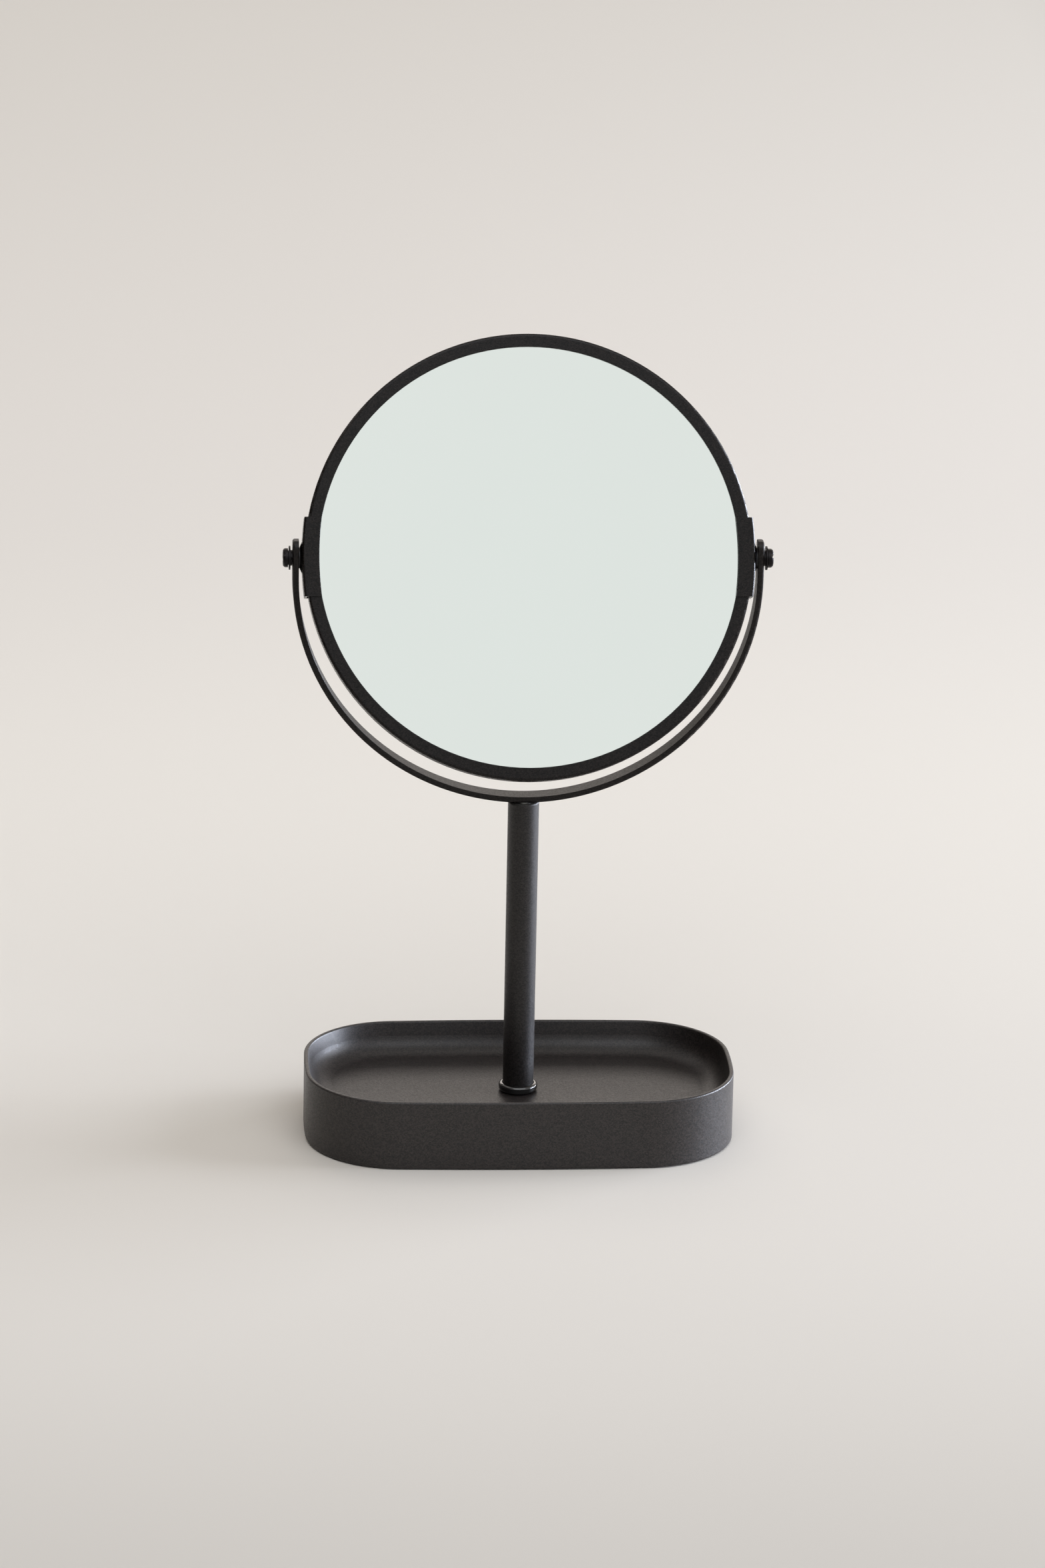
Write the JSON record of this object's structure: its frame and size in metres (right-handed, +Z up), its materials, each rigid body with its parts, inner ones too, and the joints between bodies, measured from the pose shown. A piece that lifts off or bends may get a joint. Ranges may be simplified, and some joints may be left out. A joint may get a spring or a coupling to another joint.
{
  "type": "vanity mirror",
  "caption": "Free-standing round two-sided vanity mirror that turns in a strap yoke on a tubular post, with a shallow rounded tray as its foot.",
  "frame": {"origin": "on the table, under the middle of the tray", "axes": "+X to the user's right along the pivot axis, +Y away from the user, +Z up along the post"},
  "size_m": [0.193, 0.0968, 0.3227],
  "materials": {
    "tray_plastic": "moulded, fine matt grain, black",
    "black_coat": "satin black powder coat on steel",
    "gloss_black": "gloss black enamel",
    "black_screw": "black-plated steel, semi-gloss",
    "mirror_glass": "silvered float glass",
    "plain_steel": "zinc-plated steel",
    "ballast_iron": "bare steel plate",
    "black_rubber": "matt rubber",
    "white_plastic": "natural nylon and polystyrene"
  },
  "bodies": {
    "stand": {"tray_shell": "tray_plastic", "ballast_plate": "ballast_iron", "base_cover": "tray_plastic", "cover_screws": "plain_steel", "foot_pads": "black_rubber", "base_bolt": "plain_steel", "base_flat_washer": "plain_steel", "base_spring_washer": "plain_steel", "post_collar": "gloss_black", "post_tube": "black_coat", "post_bottom_insert": "plain_steel", "post_top_insert": "plain_steel", "yoke_stud": "plain_steel", "yoke_strap": "black_coat", "left_spring_washer": "black_screw", "right_spring_washer": "black_screw"},
    "mirror_head": {"rim_hoop": "black_coat", "front_mirror": "mirror_glass", "rear_mirror": "mirror_glass", "spacer_ring": "white_plastic", "left_clip": "black_coat", "right_clip": "black_coat", "left_pivot_bush": "black_screw", "right_pivot_bush": "black_screw", "left_pivot_screw": "black_screw", "right_pivot_screw": "black_screw", "left_flat_washer": "black_screw", "right_flat_washer": "black_screw", "left_friction_washer": "white_plastic", "right_friction_washer": "white_plastic"}
  },
  "joints": [
    {"name": "mirror_tilt", "type": "hinge", "parent": "stand", "child": "mirror_head", "pos_m": [0, 0, 0.23895], "axis": [1, 0, 0], "continuous": true}
  ]
}
